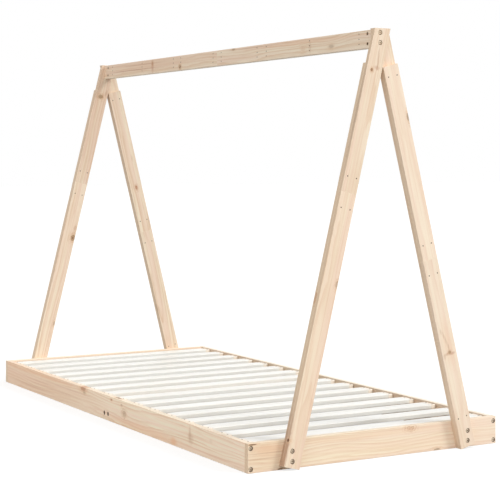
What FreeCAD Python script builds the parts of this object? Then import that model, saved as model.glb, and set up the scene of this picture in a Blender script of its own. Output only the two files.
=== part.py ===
import FreeCAD, Part
import os
import re

import Sketcher

# Low floor bed for a child: a slatted board frame between two A-frames that carry a ridge beam.
# The bed stands on the floor plane with its middle at the origin. X runs across the bed, Y runs along
# it with the near A-frame at -Y, and Z is up. Lengths are in millimetres and angles in degrees.

PARTS_FOLDER = "parts"

# Driving dimensions, each held in one cell of the sheet under the name given here.
SIZES = {
    # Board frame that lies on the floor
    "frame_width": 950,
    "frame_length": 2050,
    "board_height": 90,
    "board_thickness": 20,
    "board_round": 1.5,
    # Ledges along the inner faces of the side rails
    "ledge_width": 20,
    "ledge_height": 30,
    "ledge_end_clearance": 5,
    # Bar that ties the side rails together at mid length
    "bar_width": 60,
    "bar_thickness": 20,
    # Slats
    "slat_count": 16,
    "slat_width": 60,
    "slat_thickness": 14,
    "slat_drop": 4,
    "slat_end_gap": 21,
    "slat_side_clearance": 1,
    "slat_corner": 4,
    "slat_round": 2,
    # A-frames, each laid up from two layers of boards
    "overall_height": 1355,
    "leg_foot_spread": 340,
    "leg_width": 58,
    "layer_thickness": 14,
    "long_joint_height": 838,
    "short_joint_height": 621,
    "short_leg_clearance": 4,
    "layer_round": 1.5,
    "seam_round": 0.5,
    # Ridge beam, laid up from two layers as well
    "beam_height": 58,
    "beam_drop": 2,
    "beam_shift": 3.5,
    "beam_joint_spread": 331,
    # Steel pins that hold the layers together
    "pin_diameter": 4,
    "pin_length": 24,
    "pin_clearance": 0.1,
    "leg_pin_spacing": 34,
    "leg_pin_joint_inset": 50,
    "leg_pin_foot_inset": 100,
    "leg_pin_top_inset": 35,
    "beam_pin_top_margin": 10,
    "beam_pin_spacing": 16.5,
    "beam_pin_joint_inset": 32,
    "beam_pin_middle_spread": 650,
    "beam_pin_end_inset": 80,
    # Furniture bolts with flat heads and hexagon sockets
    "bolt_diameter": 6,
    "bolt_clearance": 0.5,
    "thread_clearance": 0.1,
    "head_diameter": 14.5,
    "head_height": 2.5,
    "head_recess": 3.5,
    "head_clearance": 0.75,
    "socket_radius": 2.3,
    "socket_depth": 2.8,
    "corner_bolt_length": 60,
    "corner_bolt_low": 12,
    "corner_bolt_high": 75,
    "foot_bolt_length": 45,
    "foot_bolt_spread": 335.5,
    "foot_bolt_low": 27,
    "foot_bolt_high": 59,
    "apex_bolt_length": 70,
    "apex_bolt_top_margin": 14,
    "apex_bolt_spacing": 32,
    "bar_bolt_spacing": 32,
    "bar_bolt_height": 24,
    # Barrel nuts that the bolts screw into, across the grain
    "barrel_diameter": 10,
    "barrel_clearance": 0.3,
    "barrel_inset": 33,
    "barrel_recess": 2.5,
    "barrel_length": 15,
    "apex_barrel_length": 9,
    "barrel_slot_width": 1.5,
    "barrel_slot_depth": 1.2,
    "bore_overrun": 4,
    # Sleeve nuts of the foot bolts, let into the end boards from inside
    "sleeve_diameter": 8.5,
    "sleeve_length": 12,
    "sleeve_clearance": 0.3,
    # Countersunk wood screws
    "screw_diameter": 4,
    "screw_head_diameter": 8,
    "screw_clearance": 0.2,
    "screw_recess_width": 1.4,
    "screw_recess_length": 4.2,
    "screw_recess_depth": 1.6,
    "slat_screw_length": 35,
    "slat_screw_inset": 8,
    "slat_screw_spacing": 36,
    "ledge_screw_length": 32,
    "ledge_screw_pairs": 3,
}

doc = FreeCAD.newDocument("floor_bed")
sheet = doc.addObject("Spreadsheet::Sheet", "sizes")
for row, (alias, size) in enumerate(SIZES.items(), start=1):
    sheet.set(f"A{row}", alias)
    sheet.set(f"B{row}", str(size))
    sheet.setAlias(f"B{row}", alias)
doc.recompute()


def named(text):
    """Write each size's name in an expression the way that the sheet is addressed from outside."""
    return re.sub(r"[a-z]\w*", lambda word: f"sizes.{word[0]}" if word[0] in SIZES else word[0], text)


def number(expression):
    """Work out an expression with the sizes as they are now."""
    value = sheet.evalExpression(named(expression))
    return float(getattr(value, "Value", value))


def minus(expression):
    """Turn the sign of an expression."""
    return f"- ({expression})"


# Levels and places that several pieces share, all worked out from the sizes
INNER_LENGTH = "(frame_length - 2 * board_thickness)"
INNER_HALF = f"({INNER_LENGTH} / 2)"
RAIL_MIDDLE = "((frame_width - board_thickness) / 2)"
RAIL_INSIDE = "(frame_width / 2 - board_thickness)"
SLAT_TOP = "(board_height - slat_drop)"
LEDGE_TOP = f"({SLAT_TOP} - slat_thickness)"
LEDGE_MIDDLE = f"({RAIL_INSIDE} - ledge_width / 2)"
SLAT_PITCH = f"(({INNER_LENGTH} - 2 * slat_end_gap - slat_width) / (slat_count - 1))"
FIRST_SLAT = f"(- {INNER_HALF} + slat_end_gap + slat_width / 2)"
SLAT_SCREW_X = f"({RAIL_INSIDE} - slat_side_clearance - slat_screw_inset)"
BARREL_Y = f"({INNER_HALF} - barrel_inset)"
BEAM_LEFT = "(- beam_shift - layer_thickness)"
APEX_BOLT_X = "(- beam_shift - layer_thickness / 2)"
APEX_BOLT_HIGH = "(overall_height - apex_bolt_top_margin)"
APEX_BOLT_LOW = f"({APEX_BOLT_HIGH} - apex_bolt_spacing)"
APEX_BOLT_LEVELS = (APEX_BOLT_LOW, APEX_BOLT_HIGH)
BEAM_TOP = "(overall_height - beam_drop)"
BEAM_BOTTOM = f"({BEAM_TOP} - beam_height)"
BAR_BOTTOM = "(bar_bolt_height - bar_thickness / 2)"

# The legs lean so that the middle line of each board meets the one opposite at the very top.
TILT = "atan(leg_foot_spread / overall_height)"
SINE = f"sin({TILT})"
COSINE = f"cos({TILT})"
TANGENT = f"tan({TILT})"
FOOT_CUT = f"(leg_width / 2 * {TANGENT})"
LEG_LENGTH = f"(overall_height / {COSINE})"
LONG_JOINT = f"(long_joint_height / {COSINE})"
SHORT_JOINT = f"(short_joint_height / {COSINE})"
EDGES_MEET = f"((leg_foot_spread - leg_width / 2 / {COSINE}) / {TANGENT})"
SHORT_TOP = f"(leg_foot_spread * {SINE} + {EDGES_MEET} * {COSINE} - short_leg_clearance)"

BOLT_BORE = "(bolt_diameter + 2 * bolt_clearance)"
HEAD_BORE = "(head_diameter + 2 * head_clearance)"
BARREL_BORE = "(barrel_diameter + 2 * barrel_clearance)"
SLEEVE_BORE = "(sleeve_diameter + 2 * sleeve_clearance)"
SCREW_BORE = "(screw_diameter + 2 * screw_clearance)"
PIN_BORE = "(pin_diameter + 2 * pin_clearance)"
BORE_DEPTH = "(head_recess + corner_bolt_length - board_thickness + bore_overrun)"
APEX_BORE_DEPTH = "(head_recess + apex_bolt_length - 2 * layer_thickness + bore_overrun)"
BARREL_DEPTH = "(barrel_recess + barrel_length)"

# Directions in a body's own frame, and how far two values may differ and still count as equal
ALONG_X = FreeCAD.Vector(1, 0, 0)
ALONG_Y = FreeCAD.Vector(0, 1, 0)
ALONG_Z = FreeCAD.Vector(0, 0, 1)
TOLERANCE = 1e-6

# Which way each origin plane faces along the axis that is square to it
PLANE_FACING = {"YZ_Plane": 1, "XZ_Plane": -1, "XY_Plane": 1}


def new_body(label, base=("0", "0", "0")):
    """Start a sub-part whose own origin stands at the given place of the bed."""
    body = doc.addObject("PartDesign::Body", label)
    body.Label = label
    for axis, expression in zip("xyz", base):
        if expression != "0":
            body.setExpression(f".Placement.Base.{axis}", named(expression))
    return body


def origin_feature(body, role):
    """Find one of the body's own origin planes or axes."""
    return next(item for item in body.Origin.OriginFeatures if item.Role == role)


def new_sketch(body, plane, offset=("0", "0", "0")):
    """Lay a sketch on one of the body's own origin planes, moved by the offset in the plane's frame."""
    sketch = body.newObject("Sketcher::SketchObject", f"{body.Name}_sketch")
    sketch.AttachmentSupport = [(origin_feature(body, plane), "")]
    sketch.MapMode = "FlatFace"
    for axis, expression in zip("xyz", offset):
        if expression != "0":
            sketch.setExpression(f".AttachmentOffset.Base.{axis}", named(expression))
    return sketch


def hold_point(sketch, geometry, point, place):
    """Hold one point of the sketch at a place whose two coordinates are expressions."""
    own_origin = (-1, 1)
    for kind, across, expression in (("DistanceX", -2, place[0]), ("DistanceY", -1, place[1])):
        value = number(expression)
        if expression == "0":
            sketch.addConstraint(Sketcher.Constraint("PointOnObject", geometry, point, across))
        elif value < 0:
            index = sketch.addConstraint(
                Sketcher.Constraint(kind, geometry, point, *own_origin, -value))
            sketch.setExpression(f"Constraints[{index}]", named(minus(expression)))
        else:
            index = sketch.addConstraint(
                Sketcher.Constraint(kind, *own_origin, geometry, point, value))
            sketch.setExpression(f"Constraints[{index}]", named(expression))


def draw_outline(sketch, points):
    """Draw a closed outline of straight lines through points whose coordinates are expressions."""
    corners = [FreeCAD.Vector(number(x), number(y), 0) for x, y in points]
    first = sketch.GeometryCount
    for index, corner in enumerate(corners):
        following = corners[(index + 1) % len(corners)]
        sketch.addGeometry(Part.LineSegment(corner, following))
    for index, place in enumerate(points):
        line = first + index
        before = first + (index - 1) % len(points)
        sketch.addConstraint(Sketcher.Constraint("Coincident", before, 2, line, 1))
        hold_point(sketch, line, 1, place)


def draw_circles(sketch, centres, diameter):
    """Draw equal circles at centres whose coordinates are expressions."""
    first = sketch.GeometryCount
    up = FreeCAD.Vector(0, 0, 1)
    for index, place in enumerate(centres):
        centre = FreeCAD.Vector(number(place[0]), number(place[1]), 0)
        circle = sketch.addGeometry(Part.Circle(centre, up, number(diameter) / 2))
        hold_point(sketch, circle, 3, place)
        if index == 0:
            held = sketch.addConstraint(Sketcher.Constraint("Diameter", circle, number(diameter)))
            sketch.setExpression(f"Constraints[{held}]", named(diameter))
        else:
            sketch.addConstraint(Sketcher.Constraint("Equal", first, circle))


def rectangle(left, right, bottom, top):
    """List the corners of an upright rectangle."""
    return [(left, bottom), (right, bottom), (right, top), (left, top)]


def pad(body, sketch, length, facing=0):
    """Raise the sketch to both sides alike, or to one side along its axis where facing is 1 or -1."""
    feature = body.newObject("PartDesign::Pad", f"{body.Name}_pad")
    feature.Profile = sketch
    feature.setExpression("Length", named(length))
    if facing == 0:
        feature.SideType = "Symmetric"
    else:
        plane = sketch.AttachmentSupport[0][0].Role
        feature.Reversed = facing != PLANE_FACING[plane]
    doc.recompute()
    return feature


def pocket(body, sketch, depth=None, facing=1):
    """Cut the sketch into the body, right through or to a depth along its axis, and prove the cut."""
    before = body.Shape.Volume
    feature = body.newObject("PartDesign::Pocket", f"{body.Name}_pocket")
    feature.Profile = sketch
    if depth is None:
        feature.Type = "ThroughAll"
        feature.SideType = "Symmetric"
    else:
        plane = sketch.AttachmentSupport[0][0].Role
        feature.setExpression("Length", named(depth))
        feature.Reversed = facing == PLANE_FACING[plane]
    doc.recompute()
    if not body.Shape.Volume < before:
        raise ValueError(f"{feature.Label} cuts nothing")
    return feature


def drill(body, plane, centres, diameter, start="0", depth=None, facing=1):
    """Drill equal round holes square to a plane, from a start level, along +axis or -axis."""
    level = start if PLANE_FACING[plane] == 1 else minus(start)
    sketch = new_sketch(body, plane, ("0", "0", "0" if start == "0" else level))
    draw_circles(sketch, centres, diameter)
    return pocket(body, sketch, depth, facing)


def mirror(body, feature, plane):
    """Repeat a feature on the other side of one of the body's own origin planes."""
    copy = body.newObject("PartDesign::Mirrored", f"{body.Name}_mirror")
    copy.Originals = [feature]
    copy.MirrorPlane = (origin_feature(body, plane), [""])
    body.Tip = copy
    doc.recompute()
    return copy


def ease_edges(body, wanted, radius, kind="PartDesign::Fillet"):
    """Round, or bevel, the edges of the body's last feature that the test picks out."""
    base = body.Tip
    names = [f"Edge{index}" for index, edge in enumerate(base.Shape.Edges, start=1) if wanted(edge)]
    feature = body.newObject(kind, f"{body.Name}_ease")
    feature.Base = (base, names)
    feature.setExpression("Radius" if kind.endswith("Fillet") else "Size", named(radius))
    doc.recompute()
    if "Invalid" in feature.State:
        raise ValueError(f"{feature.Label} eases nothing")
    return feature


def runs_along(edge, axis):
    """Tell whether a straight edge runs along one axis of its body."""
    if edge.Curve.TypeId != "Part::GeomLine":
        return False
    start, end = (vertex.Point for vertex in edge.Vertexes)
    return abs(abs((end - start).normalize().dot(axis)) - 1) < TOLERANCE


# Sides of the bed, and of each A-frame its left and right leg and its front and back layer
NEAR, FAR = -1, 1
LEFT, RIGHT = -1, 1
FRONT, BACK = -1, 1

# Board frame
CORNER_BOLT_LEVELS = ("corner_bolt_low", "corner_bolt_high")
FOOT_BOLT_LEVELS = ("foot_bolt_low", "foot_bolt_high")


def both_ways(expression):
    """List a distance to either side of the middle."""
    return (minus(expression), expression)


def ledge_screw_places():
    """List where the ledges are screwed to the rails: at the middle gap and at every second gap."""
    pairs = SIZES["ledge_screw_pairs"]
    return [f"({2 * step} * {SLAT_PITCH})" if step else "0" for step in range(-pairs, pairs + 1)]


def make_side_rail(label, side):
    """Side rail on edge between the end boards, bored for its bolts and barrel nuts."""
    middle = RAIL_MIDDLE if side == RIGHT else minus(RAIL_MIDDLE)
    half = "(board_thickness / 2)"
    inside, outside = (half, minus(half)) if side == LEFT else (minus(half), half)
    body = new_body(label, (middle, "0", "0"))
    sketch = new_sketch(body, "YZ_Plane")
    draw_outline(sketch, rectangle(minus(INNER_HALF), INNER_HALF, "0", "board_height"))
    pad(body, sketch, "board_thickness")
    ease_edges(body, lambda edge: runs_along(edge, ALONG_Y), "board_round")
    near_end = drill(body, "XZ_Plane", [("0", level) for level in CORNER_BOLT_LEVELS], BOLT_BORE,
                     minus(INNER_HALF), BORE_DEPTH, 1)
    mirror(body, near_end, "XZ_Plane")
    barrels = [(place, level) for place in both_ways(BARREL_Y) for level in CORNER_BOLT_LEVELS]
    drill(body, "YZ_Plane", barrels, BARREL_BORE, inside, BARREL_DEPTH, side)
    bar_bolts = [(place, "bar_bolt_height") for place in both_ways("(bar_bolt_spacing / 2)")]
    drill(body, "YZ_Plane", bar_bolts, BOLT_BORE)
    drill(body, "YZ_Plane", bar_bolts, HEAD_BORE, outside, "head_recess", -side)
    screws = [(place, f"({LEDGE_TOP} - ledge_height / 2)") for place in ledge_screw_places()]
    screw_depth = "(ledge_screw_length - ledge_width + screw_clearance)"
    drill(body, "YZ_Plane", screws, SCREW_BORE, inside, screw_depth, side)
    return body


def make_end_board(label, side):
    """End board that covers the rail ends and carries an A-frame on its outer face."""
    distance = "((frame_length - board_thickness) / 2)"
    half = "(board_thickness / 2)"
    inside, outside = (half, minus(half)) if side == NEAR else (minus(half), half)
    body = new_body(label, ("0", distance if side == FAR else minus(distance), "0"))
    sketch = new_sketch(body, "XZ_Plane")
    draw_outline(sketch, rectangle("(- frame_width / 2)", "(frame_width / 2)", "0", "board_height"))
    pad(body, sketch, "board_thickness")
    ease_edges(body, lambda edge: True, "board_round")
    corner_bolts = [(place, level) for place in both_ways(RAIL_MIDDLE) for level in CORNER_BOLT_LEVELS]
    foot_bolts = [(place, level) for place in both_ways("foot_bolt_spread") for level in FOOT_BOLT_LEVELS]
    drill(body, "XZ_Plane", corner_bolts + foot_bolts, BOLT_BORE)
    drill(body, "XZ_Plane", corner_bolts, HEAD_BORE, outside, "head_recess", -side)
    drill(body, "XZ_Plane", foot_bolts, SLEEVE_BORE, inside, "(sleeve_length + sleeve_clearance)", side)
    return body


def make_ledge(label, side):
    """Ledge that carries the slat ends, screwed to the inner face of a side rail."""
    middle = LEDGE_MIDDLE if side == RIGHT else minus(LEDGE_MIDDLE)
    half = f"({INNER_HALF} - ledge_end_clearance)"
    body = new_body(label, (middle, "0", "0"))
    sketch = new_sketch(body, "YZ_Plane")
    draw_outline(sketch, rectangle(minus(half), half, f"({LEDGE_TOP} - ledge_height)", LEDGE_TOP))
    pad(body, sketch, "ledge_width")
    ease_edges(body, lambda edge: runs_along(edge, ALONG_Y), "seam_round")
    drill(body, "YZ_Plane", [(place, "corner_bolt_high") for place in both_ways(BARREL_Y)], BARREL_BORE)
    screws = [(place, f"({LEDGE_TOP} - ledge_height / 2)") for place in ledge_screw_places()]
    drill(body, "YZ_Plane", screws, SCREW_BORE)
    inside = "(ledge_width / 2)" if side == LEFT else "(- ledge_width / 2)"
    sink_screw_heads(body, "x", inside)
    screw_x = f"({SLAT_SCREW_X} - {LEDGE_MIDDLE})"
    slat_screws = [(screw_x if side == RIGHT else minus(screw_x), place) for place in slat_screw_rows()]
    depth = "(slat_screw_length - slat_thickness + screw_clearance)"
    drill(body, "XY_Plane", slat_screws, SCREW_BORE, LEDGE_TOP, depth, -1)
    return body


def sink_screw_heads(body, axis, level):
    """Bevel the rims of the screw holes that open at a level, so that the heads sit flush."""
    height = number(level)
    bore_radius = number(SCREW_BORE) / 2

    def is_rim(edge):
        """Tell the rim of a screw hole at that level from all other edges."""
        if edge.Curve.TypeId != "Part::GeomCircle":
            return False
        centre = getattr(edge.Curve.Center, axis)
        return abs(edge.Curve.Radius - bore_radius) < TOLERANCE and abs(centre - height) < TOLERANCE

    ease_edges(body, is_rim, f"((screw_head_diameter + screw_clearance - {SCREW_BORE}) / 2)",
               "PartDesign::Chamfer")


def make_cross_bar(label):
    """Flat bar between the side rails that stops them from spreading."""
    body = new_body(label, ("0", "0", "bar_bolt_height"))
    sketch = new_sketch(body, "XY_Plane")
    draw_outline(sketch, rectangle(minus(RAIL_INSIDE), RAIL_INSIDE, "(- bar_width / 2)", "(bar_width / 2)"))
    pad(body, sketch, "bar_thickness")
    ease_edges(body, lambda edge: runs_along(edge, ALONG_X), "board_round")
    rows = both_ways("(bar_bolt_spacing / 2)")
    left_end = drill(body, "YZ_Plane", [(row, "0") for row in rows], BOLT_BORE,
                     minus(RAIL_INSIDE), BORE_DEPTH, 1)
    mirror(body, left_end, "YZ_Plane")
    barrels = [(place, row) for place in both_ways(f"({RAIL_INSIDE} - barrel_inset)") for row in rows]
    drill(body, "XY_Plane", barrels, BARREL_BORE, "(- bar_thickness / 2)", BARREL_DEPTH, 1)
    return body


def slat_screw_rows():
    """List the places along the bed of all the slat screws."""
    rows = []
    for index in range(SIZES["slat_count"]):
        middle = f"({FIRST_SLAT} + {index} * {SLAT_PITCH})"
        rows.append(f"({middle} - slat_screw_spacing / 2)")
        rows.append(f"({middle} + slat_screw_spacing / 2)")
    return rows


def make_slat(label, index):
    """Slat with rounded corners, screwed down through two countersunk holes at each end."""
    body = new_body(label, ("0", f"({FIRST_SLAT} + {index} * {SLAT_PITCH})",
                            f"({SLAT_TOP} - slat_thickness / 2)"))
    half = f"({RAIL_INSIDE} - slat_side_clearance)"
    sketch = new_sketch(body, "XY_Plane")
    draw_outline(sketch, rectangle(minus(half), half, "(- slat_width / 2)", "(slat_width / 2)"))
    pad(body, sketch, "slat_thickness")
    ease_edges(body, lambda edge: runs_along(edge, ALONG_Z), "slat_corner")
    ease_edges(body, lambda edge: not runs_along(edge, ALONG_Z), "slat_round")
    places = [(x, y) for x in both_ways(SLAT_SCREW_X) for y in both_ways("(slat_screw_spacing / 2)")]
    drill(body, "XY_Plane", places, SCREW_BORE)
    sink_screw_heads(body, "z", "(slat_thickness / 2)")
    return body


# A-frames
LONG, SHORT = "long", "short"

LEG_LAYER_Y = {
    (NEAR, FRONT): "(- frame_length / 2 - layer_thickness * 3 / 2)",
    (NEAR, BACK): "(- frame_length / 2 - layer_thickness / 2)",
    (FAR, FRONT): "(frame_length / 2 + layer_thickness / 2)",
    (FAR, BACK): "(frame_length / 2 + layer_thickness * 3 / 2)",
}

PIN_LEVELS = {
    LONG: (f"({LONG_JOINT} - leg_pin_joint_inset)", f"({LONG_JOINT} + leg_pin_joint_inset)"),
    SHORT: (
        f"({FOOT_CUT} + leg_pin_foot_inset)",
        f"({SHORT_JOINT} - leg_pin_joint_inset)",
        f"({SHORT_JOINT} + leg_pin_joint_inset)",
        f"({SHORT_TOP} - leg_pin_top_inset)",
   ),
}


def leg_kind(side, layer):
    """In the front layer the left leg runs to the top and the right one stops short of it."""
    return LONG if side == layer else SHORT


def in_leg(side, distance, height):
    """Turn a place on the A-frame into the leg's own frame, which starts where its middle line
    meets the floor. The distance is measured inwards from there along the floor."""
    across = f"(({distance}) * {COSINE} - ({height}) * {SINE})"
    along = f"(({distance}) * {SINE} + ({height}) * {COSINE})"
    return (across if side == LEFT else minus(across), along)


def leg_board_ends(kind, is_upper, side):
    """List the lengths at which a leg board starts and ends, the ends at its left and right edge."""
    if kind == SHORT:
        return (SHORT_JOINT, SHORT_TOP, SHORT_TOP) if is_upper else (FOOT_CUT, SHORT_JOINT, SHORT_JOINT)
    if not is_upper:
        return (FOOT_CUT, LONG_JOINT, LONG_JOINT)
    low, high = f"({LEG_LENGTH} - {FOOT_CUT})", f"({LEG_LENGTH} + {FOOT_CUT})"
    return (LONG_JOINT, low, high) if side == LEFT else (LONG_JOINT, high, low)


def pins_between(kind, start, end):
    """List the pins of one kind of board that lie between two lengths along the leg."""
    levels = [level for level in PIN_LEVELS[kind] if number(start) < number(level) < number(end)]
    return [(x, level) for level in levels for x in both_ways("(leg_pin_spacing / 2)")]


def make_leg_board(label, frame, side, layer, is_upper):
    """One of the boards that a leg is laid up from, leaning towards the middle of the A-frame."""
    kind = leg_kind(side, layer)
    foot = "leg_foot_spread" if side == RIGHT else minus("leg_foot_spread")
    body = new_body(label, (foot, LEG_LAYER_Y[frame, layer], "0"))
    lean = FreeCAD.Rotation(FreeCAD.Vector(0, -side, 0), number(TILT))
    body.Placement = FreeCAD.Placement(body.Placement.Base, lean)
    body.setExpression(".Placement.Rotation.Angle", named(TILT))
    start, left_end, right_end = leg_board_ends(kind, is_upper, side)
    sketch = new_sketch(body, "XZ_Plane")
    half = "(leg_width / 2)"
    draw_outline(sketch, [(minus(half), start), (half, start), (half, right_end), (minus(half), left_end)])
    pad(body, sketch, "layer_thickness")

    def is_outer(edge):
        """Tell the edges of the face that is turned away from the other layer."""
        return all(vertex.Point.y * layer > 0 for vertex in edge.Vertexes)

    ease_edges(body, lambda edge: is_outer(edge) and runs_along(edge, ALONG_Z), "layer_round")
    ease_edges(body, lambda edge: not (is_outer(edge) and runs_along(edge, ALONG_Z)), "seam_round")

    own_pins = pins_between(kind, start, right_end)
    other_pins = pins_between(SHORT if kind == LONG else LONG, start, right_end)
    if own_pins:
        drill(body, "XZ_Plane", own_pins, PIN_BORE)
    if other_pins:
        seam = "(- layer_thickness / 2)" if layer == BACK else "(layer_thickness / 2)"
        drill(body, "XZ_Plane", other_pins, PIN_BORE, seam,
              "(pin_length - layer_thickness + pin_clearance)", layer)
    if not is_upper:
        inwards, levels = "(leg_foot_spread - foot_bolt_spread)", FOOT_BOLT_LEVELS
    elif kind == LONG:
        inwards, levels = f"(leg_foot_spread - {side} * {APEX_BOLT_X})", APEX_BOLT_LEVELS
    else:
        return body
    bolts = [in_leg(side, inwards, level) for level in levels]
    drill(body, "XZ_Plane", bolts, BOLT_BORE)
    if layer == frame:
        face = f"({layer} * layer_thickness / 2)"
        drill(body, "XZ_Plane", bolts, HEAD_BORE, face, "head_recess", -layer)
    return body


# Ridge beam
BEAM_HALF = "(frame_length / 2)"
BEAM_PIN_ROWS = [
    place
    for distance in (
        "beam_pin_joint_inset",
        "(beam_joint_spread - beam_pin_joint_inset)",
        "(beam_joint_spread + beam_pin_joint_inset)",
        "beam_pin_middle_spread",
        f"({BEAM_HALF} - beam_pin_end_inset)",
    )
    for place in both_ways(distance)
]
BEAM_PIN_LEVELS = [f"({BEAM_TOP} - beam_pin_top_margin - {step} * beam_pin_spacing)" for step in range(3)]


def make_beam_board(label, layer, start, end):
    """One length of a beam layer, with its ends butted against the next board or an A-frame."""
    body = new_body(label, (f"({layer} * layer_thickness / 2 - beam_shift)", "0", "0"))
    sketch = new_sketch(body, "YZ_Plane")
    draw_outline(sketch, rectangle(start, end, BEAM_BOTTOM, BEAM_TOP))
    pad(body, sketch, "layer_thickness")

    def is_outer(edge):
        """Tell the edges of the face that is turned away from the other layer."""
        return all(vertex.Point.x * layer > 0 for vertex in edge.Vertexes)

    ease_edges(body, lambda edge: is_outer(edge) and runs_along(edge, ALONG_Y), "layer_round")
    ease_edges(body, lambda edge: not (is_outer(edge) and runs_along(edge, ALONG_Y)), "seam_round")

    rows = [row for row in BEAM_PIN_ROWS if number(start) < number(row) < number(end)]
    pins = [(row, level) for row in rows for level in BEAM_PIN_LEVELS]
    if layer == LEFT:
        drill(body, "YZ_Plane", pins, PIN_BORE)
        drill_beam_end(body, NEAR if number(start) < 0 else FAR)
    else:
        drill(body, "YZ_Plane", pins, PIN_BORE, "(- layer_thickness / 2)",
              "(pin_length - layer_thickness + pin_clearance)", 1)
    return body


def drill_beam_end(body, end):
    """Bore the end of the beam for the two apex bolts and their barrel nuts."""
    face = BEAM_HALF if end == FAR else minus(BEAM_HALF)
    nut = f"({BEAM_HALF} - barrel_inset)"
    bolts = [("0", level) for level in APEX_BOLT_LEVELS]
    drill(body, "XZ_Plane", bolts, BOLT_BORE, face, APEX_BORE_DEPTH, -end)
    barrels = [(nut if end == FAR else minus(nut), level) for level in APEX_BOLT_LEVELS]
    drill(body, "YZ_Plane", barrels, BARREL_BORE)


# Fasteners, each group made from one piece and its copies
def repeat(body, steps):
    """Repeat the whole body by mirror planes and by rows, given as (axis, length, count)."""
    many = body.newObject("PartDesign::MultiTransform", f"{body.Name}_copies")
    many.TransformMode = "Whole shape"
    transformations = []
    for step in steps:
        if isinstance(step, str):
            copy = body.newObject("PartDesign::Mirrored", f"{body.Name}_mirror")
            copy.MirrorPlane = (origin_feature(body, step), [""])
        else:
            axis, length, count = step
            copy = body.newObject("PartDesign::LinearPattern", f"{body.Name}_row")
            copy.Direction = (origin_feature(body, axis), [""])
            copy.setExpression("Length", named(length))
            copy.Occurrences = count
        transformations.append(copy)
    many.Transformations = transformations
    body.Tip = many
    doc.recompute()
    return many


def turn_piece(body, axis, centre, profile):
    """Turn a piece about an axis of the bed through a centre. The profile lists radius and place."""
    x, y, z = centre
    plane, offset, line = {
        "X": ("XY_Plane", ("0", y, z), "H_Axis"),
        "Y": ("XY_Plane", (x, "0", z), "V_Axis"),
        "Z": ("XZ_Plane", (x, "0", minus(y)), "V_Axis"),
    }[axis]
    sketch = new_sketch(body, plane, offset)
    points = [(place, radius) if axis == "X" else (radius, place) for radius, place in profile]
    draw_outline(sketch, points)
    feature = body.newObject("PartDesign::Revolution", f"{body.Name}_turned")
    feature.Profile = sketch
    feature.ReferenceAxis = (sketch, [line])
    doc.recompute()
    return feature


def bolt_profile(face, outwards, length):
    """Profile of a flat-headed bolt whose head seats on a face, with its shank running inwards."""
    sign = "+" if outwards > 0 else "-"
    back = "-" if outwards > 0 else "+"
    crown = f"({face} {sign} head_height)"
    tip = f"({face} {back} {length})"
    head, shank = "(head_diameter / 2)", "(bolt_diameter / 2)"
    return [("0", crown), (head, crown), (head, face), (shank, face), (shank, tip), ("0", tip)]


def cut_socket(body, plane, centre, crown, facing):
    """Sink a hexagon socket into a bolt head."""
    level = crown if PLANE_FACING[plane] == 1 else minus(crown)
    sketch = new_sketch(body, plane, ("0", "0", level))
    sixth = 360 / 6
    points = [(f"({centre[0]} + socket_radius * cos({corner * sixth}))",
               f"({centre[1]} + socket_radius * sin({corner * sixth}))") for corner in range(6)]
    draw_outline(sketch, points)
    pocket(body, sketch, "socket_depth", facing)


def make_bolts_along_bed(label, x, low, spacing, face, length, copies):
    """Bolts whose heads are sunk in the near face of a board, mirrored to the far end of the bed."""
    body = new_body(label)
    face = f"({face} - head_recess)"
    turn_piece(body, "Y", (x, "0", low), bolt_profile(minus(face), -1, length))
    cut_socket(body, "XZ_Plane", (x, low), f"(- {face} - head_height)", 1)
    repeat(body, [("Z_Axis", spacing, 2)] + copies)
    return body


def make_bar_bolts(label):
    """Bolts that run through the side rails into the ends of the cross bar."""
    body = new_body(label)
    row = "(- bar_bolt_spacing / 2)"
    face = "(frame_width / 2 - head_recess)"
    profile = bolt_profile(minus(face), -1, "corner_bolt_length")
    turn_piece(body, "X", ("0", row, "bar_bolt_height"), profile)
    cut_socket(body, "YZ_Plane", (row, "bar_bolt_height"), f"(- {face} - head_height)", 1)
    repeat(body, [("Y_Axis", "bar_bolt_spacing", 2), "YZ_Plane"])
    return body


def cut_slot(body, plane, centre, start, facing):
    """Cut the slot by which a barrel nut is turned to face its bolt."""
    level = start if PLANE_FACING[plane] == 1 else minus(start)
    sketch = new_sketch(body, plane, ("0", "0", level))
    across, along = centre
    draw_outline(sketch, rectangle(
        f"({across} - barrel_diameter)", f"({across} + barrel_diameter)",
        f"({along} - barrel_slot_width / 2)", f"({along} + barrel_slot_width / 2)"))
    pocket(body, sketch, "barrel_slot_depth", facing)


def make_corner_barrels(label):
    """Barrel nuts let into the inner faces of the side rails, one for each corner bolt."""
    body = new_body(label)
    row, start = minus(BARREL_Y), f"({RAIL_INSIDE} + barrel_recess)"
    sketch = new_sketch(body, "YZ_Plane", ("0", "0", start))
    draw_circles(sketch, [(row, "corner_bolt_low")], "barrel_diameter")
    pad(body, sketch, "barrel_length", 1)
    drill(body, "XZ_Plane", [(RAIL_MIDDLE, "corner_bolt_low")], "(bolt_diameter + thread_clearance)")
    cut_slot(body, "YZ_Plane", (row, "corner_bolt_low"), start, 1)
    repeat(body, [("Z_Axis", "(corner_bolt_high - corner_bolt_low)", 2), "YZ_Plane", "XZ_Plane"])
    return body


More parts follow.
